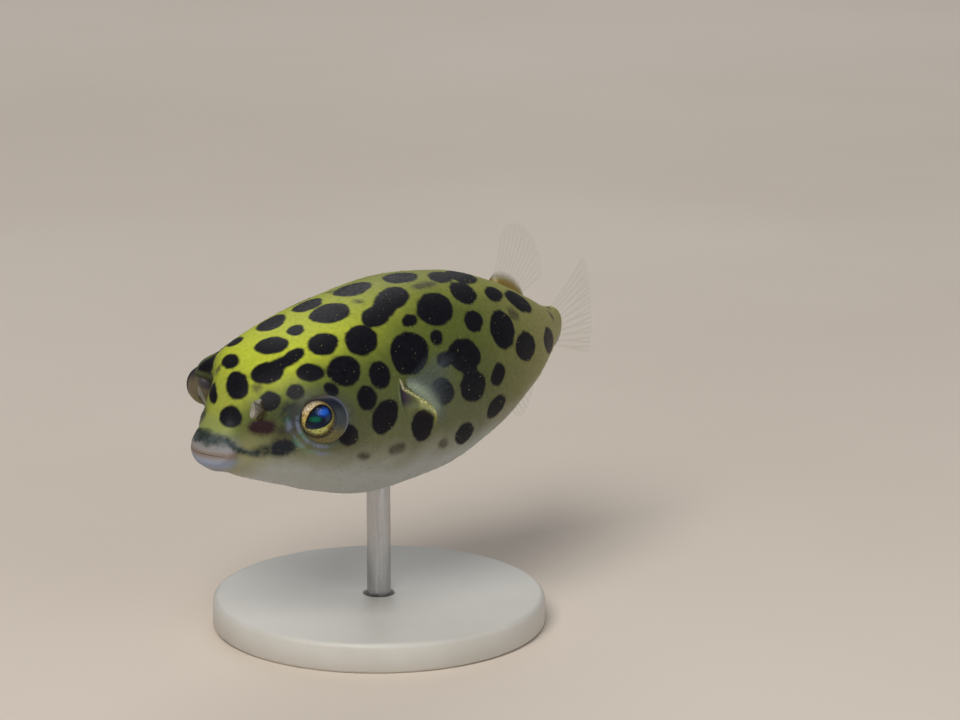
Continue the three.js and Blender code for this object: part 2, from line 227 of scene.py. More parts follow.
def gill_depth(at, angle):
    angle = np.abs(angle)
    window = ease(1.19, 1.27, angle) * (1 - ease(1.36, 1.44, angle))
    return bell(at, gill_path(angle), 0.46) * window


def lobe_edge(behind):
    """The angle of the upper edge of the pectoral fin's fleshy lobe."""
    return 1.216 + 0.167 * behind - 0.07 * behind ** 2 + 0.0139 * behind ** 3


def fin_shoulder(at, angle):
    """The fleshy lobe that carries the pectoral fin, close behind the gill slit."""
    angle = np.abs(angle)
    behind = at - GILL_STATION
    low = 1.43 + 0.12 * ease(1.6, 3.4, behind)
    high = lobe_edge(behind)
    across = ease(high - 0.03, high + 0.04, angle) * (1 - ease(low - 0.02, low + 0.07, angle))
    return across * ease(0.1, 0.7, behind) * (1 - ease(2.9, 3.7, behind))


def skin_relief(at, angle):
    """How far the skin stands off the plain form: creases, the gill slit and the fin's shoulder."""
    cosine, angle = cos(angle), np.abs(angle)
    lip_crease = -0.05 * bell(at, 2.15, 0.4) * bell(angle, 1.7, 0.5)
    chin_crease = -0.12 * bell(at, 3.1, 0.5) * (1 - ease(-0.3, 0.5, cosine))
    slit = -0.34 * gill_depth(at, angle)
    shoulder = 0.42 * fin_shoulder(at, angle)
    cheek = 0.1 * bell(at, 12.6, 1.8) * bell(angle, 1.45, 0.3)
    throat_fold = -0.1 * bell(at, 10.2 + 1.5 * cosine, 0.7) * ease(0.2, 0.8, -cosine)
    return lip_crease + chin_crease + slit + shoulder + cheek + throat_fold


def skin_surface(at, angle):
    """The finished skin behind the lips."""
    out = outward(plain_skin, at, angle)
    brow = RIGHT_BROW * bell(at, 5.6, 1.9) * bell(angle, radians(-50), 0.42)
    hollow = RIGHT_HOLLOW * bell(at, 4.6, 1.3) * bell(angle, radians(-60), 0.3)
    relief = skin_relief(at, angle) - hollow
    return raise_eye_rims(plain_skin(at, angle) + relief[..., None] * out) + brow[..., None] * out


def mouth_surface(t, angle):
    """The lips and the pocket between them: t is 0 deep inside, 1 at the slit and 2 at the face."""
    across = -sin(angle)
    slit_at = MOUTH_FRONT + MOUTH_SWEEP * across ** 2
    slit_right = MOUTH_HALF_WIDTH * across
    slit_up = MOUTH_LEVEL - 0.12 * across ** 2 + MOUTH_HALF_HEIGHT * cos(angle)
    inner = clip(t, 0, 1)
    deep_at = MOUTH_FRONT + MOUTH_POCKET
    pocket = place(deep_at + (slit_at - deep_at) * inner, slit_right * inner,
                   MOUTH_LEVEL + (slit_up - MOUTH_LEVEL) * inner)
    outer = clip(t - 1, 0, 1)
    slit = place(slit_at, slit_right, slit_up)
    face = skin_surface(np.full_like(angle, LIP_STATION), angle)
    lip = slit + (face - slit) * (outer ** 0.9)[..., None]
    lip[..., 0] -= LIP_FULLNESS * (1 - 0.65 * across ** 2) * sin(pi * outer) ** 1.1
    return where((t < 1)[..., None], pocket, lip)


TAIL_CAP = 0.95
TAIL_CORNERS = 0.55     # the upright edge's two corners lie this share of the cap further ahead


def tail_tip_surface(t, angle):
    """The fleshy end of the tail, narrowed to an upright edge: t runs from 0 to 1."""
    back, belly, half, widest, _, _ = measure(BODY_LENGTH)
    cosine = cos(angle)
    tall = (1 - 0.16 * t * t) * where(t > 0.999, 0.0, 1.0)
    up = widest + where(cosine > 0, back - widest, widest - belly) * cosine * tall
    right = -(half - SKIN_DEPTH) * sin(angle) * sqrt(clip(1 - t * t, 0, 1))
    return place(BODY_LENGTH + TAIL_CAP * t * (1 - TAIL_CORNERS * cosine ** 4), right, up)


# Shares of the rings that run from the mouth's pocket to the tail's end.
RING_SHARES = np.array((0.16, 0.20, 0.31, 0.54, 0.80, 0.955))
RING_STATIONS = np.array((LIP_STATION, 2.8, 6.6, 16.0, 33.0, BODY_LENGTH))
LIP_SHARE, TAIL_SHARE = RING_SHARES[0], RING_SHARES[-1]
SLIT_SHARE = 0.03
SKIN_ROUND = 288
SKIN_RINGS = 340


def station_of(share):
    return smooth_curve(RING_SHARES, RING_STATIONS, clip(share, LIP_SHARE, TAIL_SHARE))


def skin_point(share, angle):
    """The whole skin as one surface, from the mouth's pocket (0) to the tail's end (1)."""
    outer = 1 + (share - SLIT_SHARE) / (LIP_SHARE - SLIT_SHARE)
    mouth = mouth_surface(clip(where(share < SLIT_SHARE, share / SLIT_SHARE, outer), 0, 2), angle)
    tip = tail_tip_surface(clip((share - TAIL_SHARE) / (1 - TAIL_SHARE), 0, 1), angle)
    body = skin_surface(station_of(share), angle)
    share = share[..., None]
    return where(share < LIP_SHARE, mouth, where(share > TAIL_SHARE, tip, body))


# ---- the markings and painted light, shared by the skin and its prickles ----

# Dark spots of the left side and the back: station, angle from the back towards the
# left, length, height, and turn of the length from straight back towards the back.
BROW_SPOTS = (
    (7.3, 3, 2.9, 2.3, -80), (9.8, 4, 1.8, 1.3, 50), (3.5, 9, 2.8, 1.8, 63), (5.1, -16, 2.3, 1.3, 48),
    (10.3, -14, 3.7, 2.4, 41), (13.6, -9, 2.7, 2.3, 16), (7.4, -27, 2.2, 1.3, 55),
    (5.1, 23, 2.6, 1.9, -39), (7.1, 23, 2.3, 1.2, 11), (6.1, 22, 1.6, 1.0, 0), (2.2, 32, 1.9, 1.6, -67),
    (2.95, -28, 2.2, 0.95, 33), (6.2, -48, 1.35, 1.1, 0),
)
BACK_SPOTS = (
    (13.2, 7, 3.3, 3.0, 0), (17.5, -2, 3.4, 2.8, 6), (22.1, 4, 3.5, 2.4, 8), (25.8, 11, 3.2, 1.8, 27),
    (28.6, 11, 3.8, 2.6, 27), (18.7, 20, 3.9, 2.3, 18), (15.7, 27, 3.0, 1.9, 15),
    (17.2, 24, 2.2, 1.7, 20), (9.9, 26, 2.8, 2.3, 26), (12.9, 37, 3.3, 2.5, 24), (21.7, 36, 4.3, 2.8, 23),
    (26.3, 29, 3.2, 2.4, 25), (30.2, 31, 3.0, 1.5, 22), (33.7, 36, 4.4, 2.3, 0),
)
FLANK_SPOTS = (
    (18.4, 38, 1.6, 1.1, 8), (20.2, 52, 1.4, 1.1, 20), (25.3, 48, 2.5, 1.7, 20), (28.7, 56, 3.8, 3.0, 28),
    (31.4, 70, 4.0, 2.3, 1), (36.9, 79, 4.0, 2.1, -6), (16.8, 55, 4.3, 3.2, 19), (22.7, 64, 3.6, 2.8, 0),
    (23.0, 79, 3.1, 2.4, 7), (22.9, 72, 1.7, 1.6, 0), (20.2, 64, 1.6, 1.1, 0), (21.2, 64, 1.6, 0.8, 0),
    (19.4, 78, 2.7, 2.0, -27), (26.5, 78, 2.2, 1.5, 24), (26.1, 95, 2.7, 1.6, 7),
    (22.0, 105, 2.2, 1.8, -32), (16.8, 90, 2.6, 2.3, -84), (13.0, 62, 2.2, 2.0, 54),
    (10.0, 52, 3.0, 2.4, 3), (12.8, 84, 3.0, 2.3, 48), (11.2, 73, 1.9, 1.8, 74), (43.4, 10, 1.0, 0.8, 0),
)
FACE_SPOTS = (
    (7.4, 43, 2.0, 1.5, -22), (8.2, 61, 1.2, 0.9, -38), (5.8, 53, 1.4, 1.1, -28), (4.3, 49, 1.6, 1.5, 0),
    (9.1, 89, 1.9, 1.5, -17),
)
FAINT_SPOTS = (
    (22.8, 18, 2.8, 1.0, 0), (16.0, 11, 0.9, 0.9, 0), (31.2, 48, 1.7, 1.2, 0), (19.6, 108, 1.4, 0.8, -28),
    (14.2, 102, 1.8, 1.1, -3), (10.9, 106, 1.3, 0.7, -18), (41.0, 51, 1.6, 1.0, 0), (4.1, 30, 0.9, 0.8, 0),
)
SPOT_JOIN = 0.3         # spots closer than this run together
SPOT_SHUFFLE_SEED = 7
LAST_BACK_ANGLE = 26    # spots nearer the back than this are not repeated on the right side

# Soft stains of the face, which both sides have: an oval like a spot's, and its strength.
SMOKE_STAINS = (
    (4.4, 91, 2.1, 1.3, 10, 1.3), (3.3, 94, 2.0, 0.8, 8, 1.0), (4.4, 62, 1.7, 1.3, 0, 0.45),
    (5.2, 68, 2.0, 2.0, 0, 0.9), (4.9, 76, 2.2, 1.2, 0, 0.55),
)
SLATE_STAIN = (2.25, -53, 1.4, 1.0, 0)      # on the right side only
RUST_STAINS = ((3.4, 68, 2.2, 1.2, -21, 1.2), (4.6, 80, 2.2, 1.4, 0, 0.4))

# The dark band over the upper lip: its level over the mouth and half height along the snout.
BAND_STATIONS = np.array((0.0, 0.9, 1.15, 1.5, 2.1, 2.65, 3.3, 4.0))
BAND_LEVELS = np.array((1.34, 1.34, 1.2, 0.85, 0.4, 0.2, -0.05, -0.2))
BAND_HALVES = np.array((0.6, 0.6, 0.48, 0.52, 0.48, 0.42, 0.4, 0.35))


def oval_depth(point, at, angle, length, height, turn):
    """How deep a point lies inside an oval on the skin, in millimetres; it is negative outside."""
    angle, turn = radians(angle), radians(turn)
    centre = plain_skin(at, angle)
    step = 0.02
    along = unit(plain_skin(at + step, angle) - centre)
    across = plain_skin(at, angle - step) - centre
    across = unit(across - along * (along @ across))
    offset = point - centre
    first = offset @ (along * cos(turn) + across * sin(turn)) / (length / 2)
    second = offset @ (across * cos(turn) - along * sin(turn)) / (height / 2)
    through = offset @ cross(along, across)
    reach = sqrt(first ** 2 + second ** 2) + TINY
    slope = sqrt((first / (length / 2)) ** 2 + (second / (height / 2)) ** 2) / reach + TINY
    return where(np.abs(through) < 2.5, (1 - reach) / slope, FAR_OUT)


def joined(first, second, join):
    """The deeper of two depths, run together softly where they meet."""
    mix = clip(0.5 + 0.5 * (first - second) / join, 0, 1)
    return second + (first - second) * mix + join * mix * (1 - mix)


def right_side_spots():
    """The right side carries spots like the left's, each moved and resized a little."""
    rng = np.random.default_rng(SPOT_SHUFFLE_SEED)
    spots = []
    for at, angle, length, height, turn in BACK_SPOTS + FLANK_SPOTS + FACE_SPOTS:
        move, swing, size, spin = rng.uniform(-1, 1, 4)
        if angle > LAST_BACK_ANGLE:
            spots.append((at + 0.7 * move, -angle + 3 * swing, length * (1 + 0.12 * size),
                          height * (1 + 0.1 * size), -turn + 15 * spin))
    return spots


def markings(point, at, angle):
    """Every marking of the skin as a named value at each point, with the painted shade inside the gill slit
    and the painted glints of the fin lobe's gold edge.
    """
    def deepest(spots):
        depth = np.full(at.shape, FAR_OUT)
        for spot in spots:
            depth = joined(depth, oval_depth(point, *spot), SPOT_JOIN)
        return depth

    def stained(stains):
        strongest = np.zeros(at.shape)
        for place_at, swing, length, height, turn, strength in stains:
            for side in SIDES:
                depth = oval_depth(point, place_at, -side * swing, length, height, -side * turn)
                strongest = np.maximum(strongest, strength * ease(-0.45, 0.35, depth))
        return strongest

    dark = deepest([*BROW_SPOTS, *BACK_SPOTS, *FLANK_SPOTS, *FACE_SPOTS, *right_side_spots()])
    faint = deepest([spot for left in FAINT_SPOTS for spot in (left, (left[0] + 0.5, -left[1], *left[2:]))])
    slate = ease(-0.45, 0.35, oval_depth(point, *SLATE_STAIN))
    level = point[..., 2] - AXIS_HEIGHT - MOUTH_LEVEL
    ahead = clip(point[..., 0] + ROD_STATION, 0, BAND_STATIONS[-1])
    off_band = np.abs(level - smooth_curve(BAND_STATIONS, BAND_LEVELS, ahead))
    band = clip(1 - off_band / smooth_curve(BAND_STATIONS, BAND_HALVES, ahead), -1, 1)
    band = band - 2 * ease(2.9, 3.8, at) - 0.35 * ease(1.6, 2.4, at)
    rim = np.zeros(at.shape)
    sheen = np.zeros(at.shape)
    for side in SIDES:
        _, height, reach = round_the_eye(point, side)
        over = ease(-2.5, -1.5, height)
        rim = np.maximum(rim, (1 - ease(2.0, 3.0, reach)) * over)
        offset = point - mirrored(EYE_CENTRES[side], side)
        front_low = offset @ mirrored(unit((-0.75, 0.1, -0.65)), side) / (reach + TINY)
        streak = bell(reach, 2.22, 0.13) + 0.9 * bell(reach, 2.85, 0.25)
        sheen = np.maximum(sheen, streak * ease(0.35, 0.85, front_low) * over)
    swing = np.abs(angle)
    behind = at - GILL_STATION
    pale = bell(at, gill_path(swing) - 0.62, 0.12) * bell(swing, 1.31, 0.075)
    under_lobe = bell(swing, 1.40 + 0.012 * behind ** 2, 0.022) * bell(behind, 1.9, 1.1)
    # the gold edge along the top of the fin's fleshy lobe; the finish gives it painted glints and a painted
    # white highlight at its start
    gold_width = 0.013 + 0.026 * ease(0.4, 1.6, behind)
    gold = bell(swing - lobe_edge(behind), 0.5 * gold_width, gold_width)
    gold = gold * ease(-0.32, -0.16, behind) * (1 - ease(2.9, 3.6, behind))
    return {"spot": dark, "faint": faint, "smoke": np.maximum(stained(SMOKE_STAINS), slate),
            "rust": stained(RUST_STAINS), "rim": rim, "girth": swing / pi,
            "along": at / BODY_LENGTH, "lip": 1 - ease(1.3, 2.5, at),
            # gill: painted shade inside the gill slit; gold: the lobe's gold edge, which gets painted glints
            "gill": gill_depth(at, angle), "gold": gold, "level": level, "band": band,
            "sheen": sheen, "pale": np.maximum(pale, under_lobe),
            "lobe": fin_shoulder(at, angle) * ease(0.7, 1.5, behind),
            "start": clip(behind, 0, 5)}


# ---- making pieces ----


def finished(name, bm, material, move=None):
    """Turns a bmesh in millimetres into a piece in metres, with its faces outwards.

    move gives each point its place, and the named values that the material reads there."""
    mesh = bpy.data.meshes.new(name)
    bm.to_mesh(mesh)
    points = np.empty(len(mesh.vertices) * 3)
    mesh.vertices.foreach_get("co", points)
    points = points.reshape(-1, 3)
    points, values = move(points) if move else (points, {})
    mesh.vertices.foreach_set("co", np.ascontiguousarray(points * MM, dtype=float).ravel())
    mesh.polygons.foreach_set("use_smooth", np.ones(len(mesh.polygons), bool))
    mesh.update()
    bm.clear()
    bm.from_mesh(mesh)
    if bm.calc_volume(signed=True) < 0:
        bmesh.ops.reverse_faces(bm, faces=bm.faces[:])
    bm.to_mesh(mesh)
    bm.free()
    mesh.materials.append(material)
    for key, value in values.items():
        layer = mesh.attributes.new(key, "FLOAT", "POINT")
        layer.data.foreach_set("value", np.ascontiguousarray(value, dtype=np.float32).ravel())
    piece = bpy.data.objects.new(name, mesh)
    bpy.context.scene.collection.objects.link(piece)
    return piece


def on_body(piece, slot, *nodes):
    """Sets a piece on the fish's one body, in place of these nodes."""
    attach(piece, "root")
    if nodes:
        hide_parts(*nodes)


def unit_balls(around, rings, count=1):
    bm = bmesh.new()
    for _ in range(count):
        bmesh.ops.create_uvsphere(bm, u_segments=around, v_segments=rings, radius=1.0)
    return bm


def ball_angles(points):
    """The angles of a ball's points from its top and round its axis."""
    return np.arccos(clip(points[:, 2], -1, 1)), np.arctan2(points[:, 1], points[:, 0])


# ---- materials ----


def paint(red, green, blue):
    """A colour given as it looks, from 0 to 255, as the shader wants it."""
    shares = (value / 255 for value in (red, green, blue))
    return (*(s / 12.92 if s <= 0.04045 else ((s + 0.055) / 1.055) ** 2.4 for s in shares), 1.0)


class Finish:
    """A material built node by node. Its colours are given as they look, from 0 to 255."""

    def __init__(self, name):
        self.material = bpy.data.materials.new(name)
        self.material.use_nodes = True
        self.tree = self.material.node_tree
        self.tree.nodes.clear()
        self.output = self.add("OutputMaterial")

    def tools(self):
        """The steps that the longer finishes use most."""
        return self.value, self.step, self.times, self.plus, self.mix

    def add(self, kind, inputs=None, **settings):
        node = self.tree.nodes.new("ShaderNode" + kind)
        for key, value in settings.items():
            setattr(node, key, value)
        for key, value in (inputs or {}).items():
            self.feed(node.inputs[key], value)
        return node

    def feed(self, socket, value):
        if isinstance(value, bpy.types.NodeSocket):
            self.tree.links.new(value, socket)
        elif isinstance(value, bpy.types.Node):
            self.tree.links.new(value.outputs[0], socket)
        else:
            socket.default_value = value

    def value(self, name):
        return self.add("Attribute", attribute_name=name).outputs["Fac"]

    def place(self):
        return self.add("TexCoord").outputs["Object"]

    def noise(self, grain_size, detail=3.0, roughness=0.5, vector=None):
        """A noise whose grains are this many millimetres across."""
        return self.add("TexNoise", {"Vector": vector or self.place(), "Scale": 1 / (grain_size * MM),
                                     "Detail": detail, "Roughness": roughness}).outputs["Fac"]

    def maths(self, operation, first, second=0.0, third=0.0, clamp=False):
        return self.add("Math", {0: first, 1: second, 2: third}, operation=operation,
                        use_clamp=clamp).outputs[0]

    def times(self, first, *others, clamp=False):
        for other in others:
            first = self.maths("MULTIPLY", first, other, clamp=clamp)
        return first

    def plus(self, first, second):
        return self.maths("ADD", first, second)

    def sway(self, noise, width):
        """A noise turned into a push to and fro, this wide in all."""
        return self.maths("MULTIPLY_ADD", noise, width, -width / 2)

    def step(self, value, low, high, to_low=0.0, to_high=1.0, smooth=True):
        return self.add("MapRange", {"Value": value, "From Min": low, "From Max": high, "To Min": to_low,
                                     "To Max": to_high},
                        interpolation_type="SMOOTHSTEP" if smooth else "LINEAR").outputs[0]

    def mix(self, amount, first, second, kind="MIX"):
        node = self.add("Mix", data_type="RGBA", blend_type=kind)
        for socket, value in ((0, amount), (6, first), (7, second)):
            self.feed(node.inputs[socket], paint(*value) if isinstance(value, tuple) else value)
        return node.outputs[2]

    def shades(self, value, low, high, first, second):
        """Two colours, the second where the value is high."""
        return self.mix(self.step(value, low, high), first, second)

    def layers(self, colour, *coats):
        """Lays coats over a colour: each is its amounts, which are multiplied, and its colour."""
        for *amounts, top in coats:
            colour = self.mix(self.times(*amounts), colour, top)
        return colour

    def ramp(self, value, *stops):
        """A colour for each value, from stops given as a position and a colour."""
        node = self.add("ValToRGB", {"Fac": value})
        elements = node.color_ramp.elements
        while len(elements) < len(stops):
            elements.new(0.5)
        for element, (position, *colour) in zip(elements, stops):
            element.position = position
            element.color = paint(*colour)
        return node.outputs["Color"]

    def bump(self, height, depth, strength=1.0):
        return self.add("Bump", {"Height": height, "Distance": depth * MM, "Strength": strength}).outputs[0]

    def surface(self, **inputs):
        names = {key.replace("_", " ").title().replace("Ior", "IOR"): value for key, value in inputs.items()}
        self.feed(self.output.inputs["Surface"], self.add("BsdfPrincipled", names))
        return self.material


FINE = 0.35     # size of the skin's own grain


def skin_colours(finish):
    """The skin's colour, from its markings with the light and shade painted into them, and its fine grain;
    the prickles use the same.
    """
    value, step, times, plus, mix = finish.tools()
    wander = finish.noise(2.5)
    waver = finish.noise(1.3, 2.0)
    grain = finish.noise(FINE, 4.0, 0.6)
    patchy = finish.noise(0.8, 3.0, 0.6)
    girth = plus(value("girth"), step(wander, 0.2, 0.8, -0.035, 0.035, False))
    along = value("along")
    flank = finish.ramp(
        girth, (0.00, 146, 150, 66), (0.12, 138, 144, 58), (0.22, 98, 108, 48), (0.33, 92, 101, 48),
        (0.44, 94, 100, 62), (0.53, 108, 110, 80), (0.60, 138, 139, 122), (0.70, 168, 172, 168),
        (1.00, 178, 180, 178))
    colour = finish.layers(
        flank,
        # painted light: a brighter yellow over the forehead where light from above falls, on top of the
        # fish's own yellow-green
        (step(along, 0.50, 0.16), step(girth, 0.33, 0.11), step(along, 0.05, 0.14, 0.35, 1.0), 0.9,
         (206, 216, 62)),
        # painted light: the rear flank made paler, to make up for the shade it falls in
        (step(along, 0.5, 0.9), step(girth, 0.75, 0.5), 0.75, (176, 170, 106)))
    mottle = times(step(grain, 0.3, 0.75), step(girth, 0.62, 0.5), 0.22)
    colour = mix(mottle, colour, (120, 122, 60), "MULTIPLY")

    # the lips by their level over the slit: a browner band at the slit is painted shade of its crease, and
    # the bluer band on the lower lip is partly a painted highlight over the lip's own grey
    lip_shade = finish.ramp(
        step(value("level"), -2.0, 2.0, smooth=False), (0.0, 124, 124, 116), (0.22, 150, 156, 170),
        (0.33, 146, 156, 182), (0.42, 146, 144, 150), (0.47, 136, 122, 116), (0.53, 140, 126, 120),
        (0.59, 152, 148, 152), (0.72, 142, 142, 146), (0.86, 128, 134, 104), (1.0, 140, 148, 84))
    band = step(plus(value("band"), step(patchy, 0.25, 0.75, -0.45, 0.35, False)), -0.45, 0.7)
    broken = step(finish.noise(0.7, 3.0, 0.6), 0.36, 0.6)
    ragged = plus(finish.sway(grain, 0.14), finish.sway(waver, 0.5))
    # painted glints: bright sparkles along the gold edge
    glitter = step(finish.noise(0.12, 2.0), 0.42, 0.62)
    gold = mix(glitter, (124, 126, 58), (250, 246, 186))
    return finish.layers(
        colour,
        (step(along, 0.10, 0.055), step(girth, 0.3, 0.5, 0.1, 0.7), (140, 138, 96)),
        (step(plus(value("faint"), ragged), -0.3, 0.3), step(grain, 0.3, 0.65, 0.62, 0.85), (62, 58, 48)),
        (times(value("smoke"), step(grain, 0.25, 0.6, 0.6, 1.0), clamp=True), (30, 33, 40)),
        (times(value("rust"), step(grain, 0.25, 0.6, 0.7, 1.0), clamp=True), (44, 24, 30)),
        (value("lip"), 0.95, lip_shade),
        (band, 0.95, finish.shades(patchy, 0.42, 0.62, (64, 74, 76), (32, 41, 42))),
        (value("rim"), step(wander, 0.3, 0.7, 0.6, 1.0), 0.8,
         finish.shades(grain, 0.35, 0.65, (48, 52, 56), (78, 82, 72))),
        (value("sheen"), broken, 0.6, finish.shades(waver, 0.4, 0.6, (92, 150, 124), (130, 136, 172))),
        (value("lobe"), 0.55, (164, 164, 62)),
        (value("pale"), 0.55, (160, 180, 140)),
        (step(plus(value("spot"), ragged), -0.24, 0.06),
         finish.shades(grain, 0.35, 0.7, (9, 9, 16), (19, 17, 25))),
        # painted shade: dark purple inside the gill slit
        (value("gill"), (56, 44, 62)),
        # the gold edge with painted glints, painted white as a highlight at its start
        (value("gold"), mix(step(value("start"), 0.3, 0.1), gold, (246, 240, 200)))), grain


def skin_finish():
    finish = Finish("spotted_skin")
    colour, grain = skin_colours(finish)
    cells = finish.add("TexVoronoi", {"Vector": finish.place(), "Scale": 1 / (0.3 * MM)})
    cells = cells.outputs["Distance"]
    relief = finish.plus(finish.times(grain, 0.6), finish.times(cells, 0.5))
    return finish.surface(base_color=colour, roughness=finish.step(grain, 0.3, 0.7, 0.46, 0.60),
                          normal=finish.bump(relief, 0.025, 0.45), subsurface_weight=0.12,
                          subsurface_radius=(1.0, 0.8, 0.5), subsurface_scale=0.5 * MM,
                          coat_weight=0.03, coat_roughness=0.2, specular_ior_level=0.13)


def prickle_finish():
    finish = Finish("skin_prickles")
    colour, _ = skin_colours(finish)
    colour = finish.layers(colour, (finish.value("tip"), finish.value("glint"), (214, 206, 150)))
    return finish.surface(base_color=colour, roughness=0.4, specular_ior_level=0.4)


BLUE_GLOW = (0.31, 0.40)        # middles of the pupil's two glints, as shares of the iris
GREEN_GLOW = (-0.14, -0.04)


def eye_finish():
    """The eyeball: a dark pupil with a blue and green sheen, a gold iris with painted highlights on its upper
    left, and grey skin round it, painted in shade at its top and inner corner.
    """
    finish = Finish("eyeball")
    value, step, times, plus, mix = finish.tools()
    across, rise, radius = value("eye_across"), value("eye_up"), value("eye_radius")
    pupil, lid = value("pupil"), value("lid")
    grain = finish.noise(0.22, 3.0, 0.6)
    fleck = finish.noise(0.1, 2.0, 0.6)
    # sun: how far a point lies towards the iris's upper left, where the light falls; the gold is painted more
    # orange there, a painted highlight
    sun = plus(times(across, -0.62), times(rise, 0.78))
    gold = finish.layers(
        finish.shades(sun, -0.3, 0.9, (160, 162, 84), (222, 162, 72)),
        (step(fleck, 0.5, 0.62, 0.0, 0.75), (236, 214, 120)),
        # painted highlights: white flecks on the lit upper left of the iris
        (step(sun, 0.38, 0.85), step(fleck, 0.40, 0.56), (255, 246, 216)),
        (step(grain, 0.50, 0.66, 0.0, 0.8), (140, 84, 30)),
        (step(across, 0.45, 0.85, 0.0, 0.6), (112, 92, 48)),
        (step(radius, 0.88, 1.0, 0.0, 0.9), finish.shades(grain, 0.4, 0.6, (64, 34, 26), (108, 84, 40))))
    shell = finish.layers(
        mix(step(lid, 0.08, 0.18), finish.shades(across, 0.1, 0.9, (104, 94, 74), (136, 142, 164)),
            finish.shades(across, 0.1, 0.9, (104, 92, 72), (64, 70, 74))),
        (step(rise, -0.1, -0.9, 0.0, 0.9), finish.shades(grain, 0.4, 0.6, (98, 94, 48), (128, 118, 70))),
        (step(radius, 1.16, 1.02, 0.0, 0.85), (34, 32, 36)),
        # painted shade: dark blue-grey at the top of the eyeball under the lid, and in its inner corner by
        # the snout
        (step(rise, 0.25, 0.95), step(lid, 0.1, 0.3, 0.5, 0.95), (24, 28, 44)),
        (value("corner"), 0.8, (44, 40, 54)))
    here = finish.add("CombineXYZ", {"X": across, "Y": rise, "Z": 0.0}).outputs[0]
    stirred = finish.sway(finish.noise(0.6, 2.0), 0.5)

    def glow(centre, turn, reach):
        """A soft oval patch of the pupil: 1 in its middle and 0 outside."""
        spread = finish.add("Mapping", {"Vector": here, "Location": (*centre, 0.0),
                                        "Rotation": (0.0, 0.0, turn), "Scale": (*reach, 1.0)},
                            vector_type="TEXTURE")
        far = finish.add("VectorMath", {0: spread}, operation="LENGTH").outputs["Value"]
        return step(plus(far, stirred), 1.0, 0.35)

    deep = finish.layers(
        (1, 3, 10),
        (glow((0.0, -0.36), 0.2, (0.7, 0.3)), (4, 16, 44)),
        (glow((0.60, 0.06), 1.2, (0.34, 0.2)), (40, 50, 70)),
        (glow((-0.12, 0.30), 0.7, (0.5, 0.2)), (6, 30, 60)),
        (glow(BLUE_GLOW, 0.2, (0.52, 0.40)), (14, 56, 140)),
        (glow(BLUE_GLOW, 0.2, (0.34, 0.24)), (26, 96, 200)),
        (glow(GREEN_GLOW, 0.1, (0.46, 0.22)), (6, 96, 70)),
        (step(pupil, 0.14, 0.03), (4, 4, 8)))
    colour = finish.layers(gold, (step(radius, 0.97, 1.03), shell), (step(pupil, -0.03, 0.03), deep))
    return finish.surface(base_color=colour, roughness=0.38, normal=finish.bump(grain, 0.03, 0.5),
                          specular_ior_level=0.22)


def cornea_finish():
    """A clear film: it lets the eye show, and shines where it faces a light."""
    finish = Finish("cornea")
    facing = finish.add("LayerWeight", {"Blend": 0.15}).outputs["Fresnel"]
    both = finish.add("MixShader", {"Fac": facing})
    finish.feed(both.inputs[1], finish.add("BsdfTransparent", {"Color": (0.94, 0.96, 0.98, 1)}))
    finish.feed(both.inputs[2], finish.add("BsdfGlossy", {"Color": (0.45, 0.47, 0.5, 1), "Roughness": 0.08}))
    finish.feed(finish.output.inputs["Surface"], both)
    return finish.material


def fin_finish(name, flesh_colour, web_colour, web, ray, veil=0.0, ray_colour=(176, 176, 138)):
    """A clear web stiffened by cloudy rays, growing out of a fleshy root."""
    finish = Finish(name)
    value, step, times, plus, mix = finish.tools()
    rib, flesh, reach, arch = (value(key) for key in ("rib", "flesh", "reach", "arch"))
    grain = finish.noise(FINE, 3.0, 0.6)
    joints = finish.add("TexWave", {"Vector": finish.add("CombineXYZ", {"X": reach, "Y": 0.0, "Z": 0.0}),
                                    "Scale": 9.0, "Distortion": 0.0}).outputs["Fac"]
    root = finish.layers(flesh_colour, (step(grain, 0.35, 0.65, 0.0, 0.5), (120, 104, 44)))
    colour = finish.layers(
        web_colour, (rib, ray_colour), (flesh, root), (step(reach, 0.2, 0.3), flesh, 0.5, (74, 64, 44)),
        (arch, (150, 164, 146)))
    bone = times(rib, ray, step(joints, 0.1, 0.6, 0.75, 1.0))
    cloud = plus(step(grain, 0.3, 0.7, 0.75 * web, 1.25 * web), times(value("veil"), veil))
    cloud = plus(cloud, times(arch, min(1.0, 1.7 * veil)))
    alpha = finish.maths("MAXIMUM", plus(cloud, bone), flesh, clamp=True)
    return finish.surface(base_color=colour, roughness=0.42, alpha=alpha, coat_weight=0.05,
                          coat_roughness=0.1, specular_ior_level=0.3, normal=finish.bump(grain, 0.005, 0.2))


def flap_finish():
    finish = Finish("nasal_flap")
    value, step, times, plus, mix = finish.tools()
    tip, shade = value("tip"), value("shade")
    lines = finish.add("CombineXYZ", {"X": times(value("width"), 7.0), "Y": shade, "Z": 0.0})
    streak = step(finish.noise(1 / MM, 2.0, 0.5, lines), 0.45, 0.65, 0.0, 0.6)
    # painted light and shade: the first lobe is the lit one and alone gets pale streaks, the second is
    # painted dark brown as the shaded one
    colour = finish.layers(
        finish.shades(tip, 0.0, 0.4, (112, 108, 60), (158, 154, 142)),
        (shade, finish.shades(tip, 0.1, 0.8, (52, 41, 18), (56, 46, 24))),
        (streak, step(shade, 0.6, 0.4), (200, 192, 184)),
        (step(finish.noise(0.2), 0.4, 0.7, 0.0, 0.3), (92, 82, 66)))
    return finish.surface(base_color=colour, roughness=0.55, alpha=step(tip, 0.4, 1.0, 1.0, 0.75),
                          specular_ior_level=0.15)


